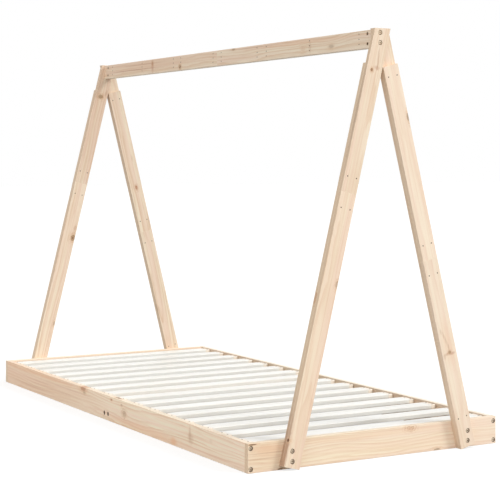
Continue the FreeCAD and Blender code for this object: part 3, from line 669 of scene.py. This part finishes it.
@dataclass(frozen=True)
class LacquerFinish:
    """Thin off-white lacquer over the slats, through which the grain stands out a little.

    The lacquer stops short of the ends by the length of the tip, where a slat lies on its ledges, and goes
    over into the tip along the fade, both in mm. The tip's own tone shows by the least tip share and by the
    broad noise's share more in its patches.
    """

    white: Triple = linear(242, 242, 238)
    cream: Triple = linear(237, 235, 229)
    # painted light: a warmer, slightly darker tone on the slats' front and back faces for the warm light
    # bounced between them
    flank: Triple = linear(240, 238, 229)
    bare: Triple = linear(228, 204, 172)
    tip_tone: Triple = linear(248, 233, 214)
    seam: Triple = linear(176, 152, 130)
    broad: Cloud = Cloud((420, 22, 22), 0, span=(0.35, 0.70), share=0.45)
    streak: Cloud = Cloud((160, 4, 4), 19, 3.0, (0.52, 0.85), 0.35)
    fibre: Cloud = Cloud((40, 0.6, 0.8), 37, share=0.12)
    specks: Cloud = Cloud((3, 2, 2), 53, span=(0.50, 0.72), share=0.40)
    fibre_middle: float = 0.02
    flank_share: float = 0.5
    end_share: float = 0.65
    tip: float = 20.0
    fade: float = 1.4
    least_tip_share: float = 0.35
    seam_share: float = 2.0
    roughness: float = 0.32
    streak_roughening: float = 0.14
    speck_roughening: float = 0.06
    edge_roughening: float = 0.08
    end_roughening: float = 0.15
    fibre_height: float = 0.5
    streak_height: float = 0.4
    bump: Pair = (0.30, 0.2)
    gloss: float = 0.45

    def dress(self, board: Board) -> Owner:
        """Make the material of one slat.

        Args:
            board: The slat that it is for.

        Returns:
            The material.
        """
        bench = BoardBench("lacquer", board)
        broad, streak, fibre, specks = (
            bench.cloud(cloud) for cloud in (self.broad, self.streak, self.fibre, self.specks))
        coat = bench.blend(broad.rise(*self.broad.span), self.white, self.cream)
        coat = bench.blend(streak.rise(*self.streak.span) * self.streak.share, coat, self.cream)
        coat = bench.blend((fibre - 0.5) * self.fibre.share + self.fibre_middle, coat, self.bare)
        coat = bench.blend(bench.flanks() * self.flank_share, coat, self.flank)
        tip_start = board.halves[0] - self.tip
        tip = abs(bench.places[0]).rise(tip_start - self.fade / 2, tip_start + self.fade / 2)
        coat = bench.blend(tip * (broad * self.broad.share + self.least_tip_share), coat, self.tip_tone)
        coat = bench.blend(tip * (1 - tip) * self.seam_share, coat, self.seam)
        edge = bench.edges()
        coat = bench.blend(edge * specks.rise(*self.specks.span) * self.specks.share, coat, self.bare)
        end = bench.ends()
        coat = bench.blend(end * self.end_share, coat, self.bare)
        rough = (streak * self.streak_roughening + specks * self.speck_roughening + edge * self.edge_roughening
                 + end * self.end_roughening + self.roughness)
        relief = fibre * self.fibre_height + streak * self.streak_height
        surface = Surface(bench.shaded(coat), rough, relief)
        return bench.coat(surface, self.bump, {"Specular IOR Level": self.gloss})


@dataclass(frozen=True)
class PlatingFinish:
    """Plated steel of the fasteners, with a fine grain, duller patches and painted shade in sockets and at
    rims.

    The unshaded offset is how far the clean, unshaded part of a head lies from its axis, in mm, so that the
    painted shade at the rim falls as a crescent on one side. Painted shade covers the walls, which look away
    from the axis, and it comes up towards the rim between the two rim shade depths, in mm inside it.
    """

    name: str
    bright: Triple
    dull: Triple
    roughness: float
    rim_shade: Triple = linear(74, 57, 43)
    unshaded_offset: Triple = (-1.9, 0.0, 0.7)
    patch_scale: float = 260.0
    grain_scale: float = 2400.0
    patch_span: Pair = (0.35, 0.70)
    grain_share: float = 0.4
    grain_middle: float = 0.1
    wall_span: Pair = (0.35, 0.85)
    rim_shade_depths: Pair = (2.5, 0.5)
    rim_shade_share: float = 0.85
    patch_roughening: float = 0.18
    grain_roughening: float = 0.10
    rim_shade_roughening: float = 0.15
    bump: Pair = (0.25, 0.05)

    def dress(self, axis: Vector, hearts: list[Vector], rim: float) -> Owner:
        """Make the material of one group of fasteners.

        Args:
            axis: The direction that the fasteners lie in.
            hearts: A point on each fastener's axis, in mm.
            rim: Radius of the heads, in mm.

        Returns:
            The material.
        """
        bench = Bench(bpy.data.materials.new(f"plating_{self.name}"))
        place = bench.place()
        patches, grain = (
            bench.noise(bench.vector_math("SCALE", {0: place, "Scale": scale}, "Vector"), detail)
            for scale, detail in ((self.patch_scale, 3.0), (self.grain_scale, 2.0)))
        steel = bench.blend(patches.rise(*self.patch_span), self.bright, self.dull)
        steel = bench.blend((grain - 0.5) * self.grain_share + self.grain_middle, steel, self.dull)
        # painted shade: the head's walls and a band at its rim, set off to one side, darken into a dark ring
        # and crescent
        wall = 1 - bench.faces(axis, self.wall_span)
        reach = self.reach(bench, place, axis, [heart + Vector(self.unshaded_offset) for heart in hearts])
        outer = reach.rise(*(rim - depth for depth in self.rim_shade_depths))
        steel = bench.blend(wall.higher(outer) * self.rim_shade_share, steel, self.rim_shade)
        rough = (patches * self.patch_roughening + grain * self.grain_roughening
                 + outer * self.rim_shade_roughening + self.roughness)
        return bench.coat(Surface(steel, rough, grain), self.bump, {"Metallic": 1.0})

    @staticmethod
    def reach(bench: Bench, place: Wire, axis: Vector, hearts: list[Vector]) -> Wire:
        """Give the distance to the nearest fastener's axis, in mm.

        Args:
            bench: The material's bench.
            place: The place on the piece, in metres.
            axis: The direction that the fasteners lie in.
            hearts: A point on each fastener's axis, in mm.

        Returns:
            The distance.
        """
        in_mm = tuple((1 - abs(part)) / MM for part in axis)
        flat = bench.vector_math("MULTIPLY", {0: place, 1: in_mm}, "Vector")
        nearest, *others = (
            bench.vector_math("DISTANCE", {0: flat, 1: tuple(heart)}, "Value") for heart in hearts)
        for other in others:
            nearest = nearest.lower(other)
        return nearest


def wear(name: str, material: Owner) -> None:
    """Give a piece of the frame one material all over.

    Args:
        name: The piece.
        material: Its material.
    """
    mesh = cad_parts[name].data
    mesh.materials.clear()
    mesh.materials.append(material)
    LOG.info("dressed %s", name)


RED_BROWN = linear(182, 122, 88)
OLIVE_BROWN = linear(150, 118, 84)
DARK_BROWN = linear(116, 76, 50)
GREY_BROWN = linear(152, 130, 110)
TAN = linear(192, 150, 116)
ORANGE = linear(236, 182, 138)
STRAW = linear(250, 230, 192)
ROSY = linear(228, 188, 158)
ROSY_BROWN = linear(206, 162, 132)
SANDY = linear(220, 186, 150)
SHELL = linear(252, 232, 212)
# painted shade: the darker, redder tone at the near-left leg's foot
FOOT_SHADE_RUSSET = linear(174, 138, 114)


@dataclass
class BoardFrame:
    """Side rails, end boards, ledges and the cross bar."""

    finish: PineFinish = field(default_factory=PineFinish)
    # painted shade: darker top and bottom faces of the left rail and near end board, against the brighter light
    # on their tops
    shaded_top_flank: Triple = linear(219, 210, 192)
    # painted light: paler top and bottom faces of the right rail, for its brightly lit top edge
    lit_top_flank: Triple = linear(252, 246, 234)
    rail_marks: tuple[Mark, ...] = (
        stain((-475, 760, 45), 620, 90, 0.46, ROSY),
        stain((-475, 360, 62), 210, 3, 0.34, ROSY_BROWN),
        stain((-475, 470, 40), 240, 4, 0.30, ROSY_BROWN),
        stain((-475, 720, 24), 200, 5, 0.30, ROSY_BROWN),
        stain((-475, 640, 52), 160, 2, 0.36, ROSY_BROWN),
        stain((-475, -330, 14), 250, 15, 0.36, ORANGE),
        stain((-475, -535, 13), 20, 12, 0.55, ORANGE),
        stain((-475, 700, 80), 380, 7, 0.35, ORANGE),
        Mark((-475, 207, 85), 22, 8, 0.70, RED_BROWN, 0.45),
        Mark((-475, 196, 71), 12, 6, 0.30, OLIVE_BROWN, 0.6, 3),
        Mark((-475, -153, 46), 13, 11, 0.38, OLIVE_BROWN, 0.7),
        Mark((-475, -132, 73), 7, 4, 0.30, OLIVE_BROWN, swirl=3),
        stain((-475, -651, 60), 7, 22, 0.34, TAN),
        stain((-475, -656, 44), 17, 16, 0.36, TAN),
        stain((-475, -793, 58), 10, 6, 0.10, OLIVE_BROWN),
        Mark((-475, -45, 79), 7, 3.5, 0.75, RED_BROWN, swirl=3),
        Mark((-464, -85, 90), 24, 3, 0.80, DARK_BROWN, swirl=2, through=5),
    )
    right_rail_marks: tuple[Mark, ...] = (
        # painted shade: a grey-brown band darkens the rail's inner face, which is turned away from the key lamp
        Mark((455, 0, 66), 1300, 60, 0.52, GREY_BROWN, 0.7, 0.0, 3),
        Mark((475, -420, 40), 12, 8),
        Mark((475, 610, 62), 9, 6),
    )
    near_marks: tuple[Mark, ...] = (
        Mark((126, -1025, 82), 14, 8, 0.20, TAN, 0.5, 14),
        Mark((232, -1025, 3), 11, 4.5, 0.60, GREY_BROWN, swirl=6),
        Mark((-459, -1025, 86), 14, 2.4, 0.90, DARK_BROWN, swirl=2, through=12),
        # painted shadow: a dark spot where the near-left leg's foot meets the board at the floor
        Mark((-362, -1025, 2), 9, 4, 0.85, DARK_BROWN, swirl=4),
        stain((-405, -1025, 66), 55, 16, 0.40, ORANGE),
        stain((-430, -1025, 40), 60, 2.0, 0.45, TAN),
        stain((-400, -1025, 56), 70, 1.5, 0.40, TAN),
        stain((-60, -1025, 30), 420, 24, 0.20, STRAW),
        stain((-60, -1025, 74), 300, 9, 0.22, ORANGE),
        stain((-425, -1025, 45), 85, 60, 0.28, SANDY),
        stain((400, -1025, 45), 90, 60, 0.35, SHELL),
    )

    def build(self) -> None:
        """Dress every board of the frame."""
        for board in (
            Board("side_rail_left", ALONG_Y, ALONG_Z, marks=self.rail_marks, shade=0.12, grain=1.7, pitch=8.0,
                  flank=self.shaded_top_flank),
            Board("side_rail_right", ALONG_Y, ALONG_Z, Sawing.SLAB, self.right_rail_marks,
                  flank=self.lit_top_flank),
            Board("end_board_near", ALONG_X, ALONG_Z, marks=self.near_marks, shade=0.01, grain=1.2, pitch=6.5,
                  flank=self.shaded_top_flank),
            Board("end_board_far", ALONG_X, ALONG_Z, marks=(Mark((-210, 1025, 50), 11, 8),)),
            Board("slat_ledge_left", ALONG_Y, ALONG_Z, Sawing.QUARTER),
            Board("slat_ledge_right", ALONG_Y, ALONG_Z, Sawing.QUARTER),
            Board("cross_bar", ALONG_X, ALONG_Y, marks=(Mark((120, 8, 24), 9, 6, through=30),)),
        ):
            wear(board.name, self.finish.dress(board))


@dataclass
class SlatBase:
    """The lacquered slats, each a little lighter or darker within the range of shades."""

    finish: LacquerFinish = field(default_factory=LacquerFinish)
    shades: Pair = (-0.03, 0.01)

    def build(self) -> None:
        """Dress every slat."""
        for name in sorted(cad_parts):
            if name.startswith("slat_") and name[-2:].isdigit():
                shade = random.Random(name).uniform(*self.shades)
                wear(name, self.finish.dress(Board(name, ALONG_X, ALONG_Y, Sawing.QUARTER, shade=shade)))


@dataclass
class AFrames:
    """The two A-frames, each board with its own grain along the lean of its leg.

    The foot is how far a leg leans out over its height, in mm. A board's shade is that of its A-frame and a
    bit more within the range of shades.
    """

    finish: PineFinish = field(default_factory=PineFinish)
    foot: float = 340.0
    height: float = 1355.0
    shades: Pair = (0.00, 0.05)
    far_shade: float = -0.14
    near_shade: float = -0.035
    far_grain: float = 1.4
    near_grain: float = 1.05
    # painted shade: the legs' narrow side faces are darkened for their shade, the near-left ones most
    flank: Triple = linear(223, 194, 164)
    near_left_shaded_flank: Triple = linear(202, 176, 145)
    marks: dict[str, tuple[Mark, ...]] = field(default_factory=lambda: {
        "leg_near_left_front_upper": (
            # painted shade: a grey-brown band along the leg's left side face
            stain((-100, -1046, 1095), 150, 5, 0.55, GREY_BROWN),
            stain((-130, -1053, 950), 500, 60, 0.12, ROSY),
            stain((-24, -1053, 1229), 6, 9, 0.38, RED_BROWN),
            stain((-20, -1053, 1238), 14, 2.6, 0.50, TAN),
            stain((-18, -1053, 1259), 15, 2.3, 0.50, TAN),
            stain((-16, -1053, 1280), 15, 2.0, 0.40, TAN),
            Mark((-43, -1053, 1223), 5.5, 4, 0.80, swirl=12)),
        "leg_near_left_front_lower": (
            # painted shade: darkens the front layer's left side face at the foot
            stain((-364, -1046, 30), 130, 5, 0.75, FOOT_SHADE_RUSSET),
            stain((-260, -1053, 330), 500, 60, 0.20, ROSY),
            Mark((-174, -1053, 556), 11, 5, 0.45, GREY_BROWN, 0.6),
            Mark((-347, -1046, 92), 5, 7, 1.0, DARK_BROWN, swirl=4, through=6)),
        "leg_near_left_back_lower": (
            # painted shade: darkens the back layer's left side face at the foot
            stain((-364, -1032, 30), 150, 6, 0.80, FOOT_SHADE_RUSSET),
            Mark((-240, -1034, 516), 16, 12, 0.32, RED_BROWN, through=7)),
        "leg_near_right_front_upper": (
            stain((150, -1053, 900), 500, 60, 0.35, SHELL),
            Mark((97, -1053, 1075), 13, 4, 0.65, GREY_BROWN)),
        "leg_near_right_front_lower": (
            stain((250, -1053, 380), 500, 60, 0.35, SHELL),
            stain((255, -1053, 345), 70, 20, 0.20, ORANGE),
            stain((272, -1053, 315), 4, 11, 0.42, RED_BROWN),
            stain((257, -1053, 335), 14, 2.6, 0.44, TAN),
            stain((246, -1053, 357), 14, 2.4, 0.40, TAN),
            stain((236, -1053, 374), 12, 2.4, 0.38, TAN),
            stain((226, -1053, 386), 9, 3.0, 0.30, TAN),
            stain((250, -1053, 312), 4, 10, 0.38, TAN),
            stain((243, -1053, 303), 7, 4, 0.30, TAN),
            Mark((262, -1053, 319), 5, 5, 0.58, OLIVE_BROWN, 0.6, 10)),
        "leg_far_left_front_upper": (
            stain((-60, 1025, 1090), 270, 60, 0.25, ROSY_BROWN),
            stain((-10, 1025, 1232), 12, 5, 0.40, TAN),
            Mark((-38, 1025, 1217), 9, 11, 0.65, OLIVE_BROWN, 0.5)),
        "leg_far_left_front_lower": (
            Mark((-169, 1025, 601), 13, 9, 0.80, OLIVE_BROWN),
            Mark((-170, 1025, 600), 5, 4, 0.70, DARK_BROWN, swirl=2),
            Mark((-158, 1025, 642), 12, 5, 0.30, RED_BROWN, 0.6, 3),
            Mark((-257, 1025, 235), 10, 3, 0.40, GREY_BROWN)),
        "leg_far_right_front_upper": (
            stain((202, 1025, 664), 38, 5, 0.30, TAN),
            stain((115, 1025, 946), 14, 4, 0.25, TAN),
            Mark((136, 1025, 816), 10, 5.5, 0.62, RED_BROWN, 0.5, 12)),
        "leg_far_right_front_lower": (stain((245, 1025, 269), 20, 5, 0.30, TAN),),
        "leg_far_right_back_upper": (Mark((60, 1053, 1120), 10, 7),),
        "leg_far_left_back_lower": (Mark((-250, 1053, 360), 10, 7),),
    })

    def build(self) -> None:
        """Dress every board of the legs."""
        lean = math.atan(self.foot / self.height)
        for name in sorted(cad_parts):
            if not (name.startswith("leg_") and name.endswith("er")):
                continue
            side = 1 if "_left_" in name else -1
            far = "_far_" in name
            along = Vector((side * math.sin(lean), 0, math.cos(lean)))
            across = Vector((math.cos(lean), 0, -side * math.sin(lean)))
            luck = random.Random(name + " board")
            shade = luck.uniform(*self.shades) + (self.far_shade if far else self.near_shade)
            wear(name, self.finish.dress(Board(
                name, along, across, luck.choice(list(Sawing)), self.marks.get(name, ()), shade,
                self.far_grain if far else self.near_grain,
                flank=self.near_left_shaded_flank if "_near_left_" in name else self.flank)))


@dataclass
class RidgeBeam:
    """The ridge beam's two layers."""

    finish: PineFinish = field(default_factory=PineFinish)
    shade: float = -0.055
    grain: float = 1.5
    marks: dict[str, tuple[Mark, ...]] = field(default_factory=lambda: {
        "beam_left_far": (
            stain((-17, 560, 1330), 420, 22, 0.50, ROSY),
            stain((-17, 740, 1318), 220, 1.8, 0.60, RED_BROWN),
            stain((-17, 640, 1337), 160, 1.5, 0.40, RED_BROWN),
            stain((-17, 551, 1324), 9, 24, 0.42, RED_BROWN),
            Mark((-17, 553, 1335), 7, 7, 0.50, RED_BROWN, 0.5, 6),
            Mark((-17, 306, 1308), 8, 8, 0.75, OLIVE_BROWN, 0.5, 6),
            Mark((-17, 306, 1306), 4, 4, 0.80, DARK_BROWN, swirl=2)),
        "beam_left_near": (
            stain((-17, -620, 1341), 340, 6, 0.26, ORANGE),
            stain((-17, -250, 1346), 150, 2.0, 0.30, RED_BROWN),
            Mark((-17, -783, 1315), 14, 6, 0.40, GREY_BROWN, 0.7, 2),
            Mark((-17, -610, 1318), 14, 9, 0.25, ROSY, 0.6, 2),
            stain((-17, -652, 1322), 8, 18, 0.26, TAN),
            Mark((-17, -126, 1349), 12, 4, 0.50, OLIVE_BROWN, swirl=4)),
        "beam_right_middle": (Mark((10, 120, 1322), 9, 7),),
        "beam_right_near": (Mark((10, -760, 1330), 10, 8),),
    })

    def build(self) -> None:
        """Dress every board of the beam."""
        for name in sorted(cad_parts):
            if name.startswith("beam_") and name != "beam_pins":
                marks = self.marks.get(name, ())
                board = Board(name, ALONG_Y, ALONG_Z, Sawing.RIFT, marks, self.shade, self.grain)
                wear(name, self.finish.dress(board))


@dataclass(frozen=True)
class FastenerGroup:
    """One piece of the frame that holds like fasteners, with their plating, direction and head radius in mm.

    Points closer to each other than the gathering, in head radii, belong to one fastener.
    """

    name: str
    plating: PlatingFinish
    axis: Vector
    rim: float
    gathering: float = 2.4

    def hearts(self) -> list[Vector]:
        """Find a point on each fastener's axis from the piece's mesh.

        Returns:
            The points in mm, with 0 along the axis, one for all fasteners in one line.
        """
        flat = [Vector(tuple(part * (1 - abs(share)) for part, share in zip(vertex.co / MM, self.axis)))
                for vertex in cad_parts[self.name].data.vertices]
        groups: list[list[Vector]] = []
        for point in flat:
            near = [group for group in groups if (group[0] - point).length < self.gathering * self.rim]
            if near:
                near[0].append(point)
            else:
                groups.append([point])
        return [Vector(tuple((min(values) + max(values)) / 2 for values in zip(*group))) for group in groups]

    def build(self) -> None:
        """Dress the group."""
        wear(self.name, self.plating.dress(self.axis, self.hearts(), self.rim))


@dataclass
class Fasteners:
    """Bolts, nuts, screws and pins, with the radii of their heads in mm."""

    bolts: PlatingFinish = PlatingFinish("bolts", linear(222, 205, 182), linear(162, 142, 120), 0.22)
    # the apex bolts carry their own painted shade colour and a smaller offset of their shaded crescent
    apex_bolts: PlatingFinish = PlatingFinish(
        "apex_bolts", linear(232, 214, 190), linear(200, 176, 148), 0.22, linear(112, 92, 70), (-0.8, 0.0, 0.4))
    bar_bolts: PlatingFinish = PlatingFinish("bar_bolts", linear(150, 126, 106), linear(98, 80, 66), 0.28)
    nuts: PlatingFinish = PlatingFinish("nuts", linear(130, 112, 92), linear(92, 78, 62), 0.30)
    screws: PlatingFinish = PlatingFinish("screws", linear(150, 132, 108), linear(104, 88, 68), 0.28)
    pins: PlatingFinish = PlatingFinish("pins", linear(130, 110, 88), linear(84, 70, 56), 0.38)
    bolt_rim: float = 7.25
    nut_rim: float = 5.0
    screw_rim: float = 3.5
    pin_rim: float = 1.5

    def build(self) -> None:
        """Dress every group of fasteners."""
        for name, plating, axis, rim in (
            ("corner_bolts", self.bolts, ALONG_Y, self.bolt_rim),
            ("foot_bolts", self.bolts, ALONG_Y, self.bolt_rim),
            ("apex_bolts", self.apex_bolts, ALONG_Y, self.bolt_rim),
            ("cross_bar_bolts", self.bar_bolts, ALONG_X, self.bolt_rim),
            ("corner_barrel_nuts", self.nuts, ALONG_X, self.nut_rim),
            ("apex_barrel_nuts", self.nuts, ALONG_X, self.nut_rim),
            ("cross_bar_barrel_nuts", self.nuts, ALONG_Z, self.nut_rim),
            ("foot_sleeve_nuts", self.nuts, ALONG_Y, self.bolt_rim),
            ("slat_screws", self.screws, ALONG_Z, self.screw_rim),
            ("ledge_screws", self.screws, ALONG_X, self.screw_rim),
            ("leg_pins", self.pins, ALONG_Y, self.pin_rim),
            ("beam_pins", self.pins, ALONG_X, self.pin_rim),
        ):
            FastenerGroup(name, plating, axis, rim).build()


@dataclass(frozen=True)
class Lamp:
    """A large soft lamp far away: the direction that it stands in, its strength and its width as an angle."""

    name: str
    direction: Triple
    strength: float
    softness: float


@dataclass
class Studio:
    """Floor, world light, lamps and camera.

    The floor gives the bed its bounce, and shows as its grey with a glow. The camera's turn, rise, focal length
    and centre come from the long edges of the bed in the photograph, in its pixels.
    """

    floor_half: float = 40.0
    floor_bounce: Triple = (0.35, 0.35, 0.35)
    floor_grey: Triple = (0.36, 0.36, 0.36)
    floor_glow: float = 0.68
    white: Triple = (1.0, 1.0, 1.0)
    world_strength: float = 0.74
    lamps: tuple[Lamp, ...] = (
        Lamp("key_lamp", (0.58, -0.53, 0.62), 1.40, math.radians(20)),
        Lamp("fill_lamp", (-0.68, -0.70, 0.22), 1.30, math.radians(100)),
    )
    camera_place: Triple = (-2.62942, -4.75446, 0.94347)
    camera_turn: float = math.radians(29.5899)
    camera_rise: float = math.radians(0.4239)
    picture_side: float = 500.0
    focal_pixels: float = 1436.08
    centre_pixel: Pair = (236.78, 147.76)
    sensor: float = 36.0

    def build(self) -> None:
        """Set up all that is not the bed."""
        self.build_floor()
        self.build_world()
        self.build_lamps()
        self.build_camera()
        bpy.context.scene.view_settings.view_transform = "Standard"

    def build_floor(self) -> None:
        """Lay the pale floor, which shows white but keeps the bed's shadow."""
        bpy.ops.object.select_all(action="DESELECT")
        bpy.ops.mesh.primitive_plane_add(size=2 * self.floor_half, location=(0, 0, 0))
        floor = bpy.context.object
        floor.name = "studio_floor"
        bench = Bench(bpy.data.materials.new("studio_floor"))
        plain = bench.wire("ShaderNodeBsdfDiffuse", {}, {"Color": self.floor_bounce})
        grey = bench.wire("ShaderNodeBsdfDiffuse", {}, {"Color": self.floor_grey})
        glow = bench.wire("ShaderNodeEmission", {}, {"Color": self.white, "Strength": self.floor_glow})
        lit = bench.wire("ShaderNodeAddShader", {}, {0: grey, 1: glow})
        mixed = bench.wire("ShaderNodeMixShader", {}, {0: bench.seen(), 1: plain, 2: lit})
        floor.data.materials.append(bench.finish(mixed))

    def build_world(self) -> None:
        """Light the bed evenly from all round, and show white behind it."""
        bench = Bench(bpy.data.worlds.new("studio_world"))
        light, backdrop = (
            bench.wire("ShaderNodeBackground", {}, {"Color": self.white, "Strength": strength})
            for strength in (self.world_strength, 1.0))
        mixed = bench.wire("ShaderNodeMixShader", {}, {0: bench.seen(), 1: light, 2: backdrop})
        bpy.context.scene.world = bench.finish(mixed)

    def build_lamps(self) -> None:
        """Add the large soft lamps."""
        for lamp in self.lamps:
            light = bpy.data.lights.new(lamp.name, "SUN")
            light.energy = lamp.strength
            light.angle = lamp.softness
            holder = bpy.data.objects.new(lamp.name, light)
            holder.rotation_euler = Vector(lamp.direction).to_track_quat("Z", "Y").to_euler()
            bpy.context.scene.collection.objects.link(holder)

    def build_camera(self) -> None:
        """Stand the camera where the photograph was taken from."""
        lens = bpy.data.cameras.new("camera")
        lens.sensor_width = self.sensor
        lens.lens = self.focal_pixels * self.sensor / self.picture_side
        middle = (self.picture_side - 1) / 2
        lens.shift_x = (middle - self.centre_pixel[0]) / self.picture_side
        lens.shift_y = (self.centre_pixel[1] - middle) / self.picture_side
        holder = bpy.data.objects.new("camera", lens)
        holder.location = self.camera_place
        holder.rotation_euler = Euler((math.pi / 2 + self.camera_rise, 0.0, -self.camera_turn), "XYZ")
        bpy.context.scene.collection.objects.link(holder)
        bpy.context.scene.camera = holder


def main() -> None:
    """Build the sub-assemblies in order, then the studio."""
    logging.basicConfig(level=logging.INFO, format="%(name)s: %(message)s")
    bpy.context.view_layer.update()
    for part in (BoardFrame(), SlatBase(), AFrames(), RidgeBeam(), Fasteners(), Studio()):
        part.build()


if __name__ == "__main__":
    main()
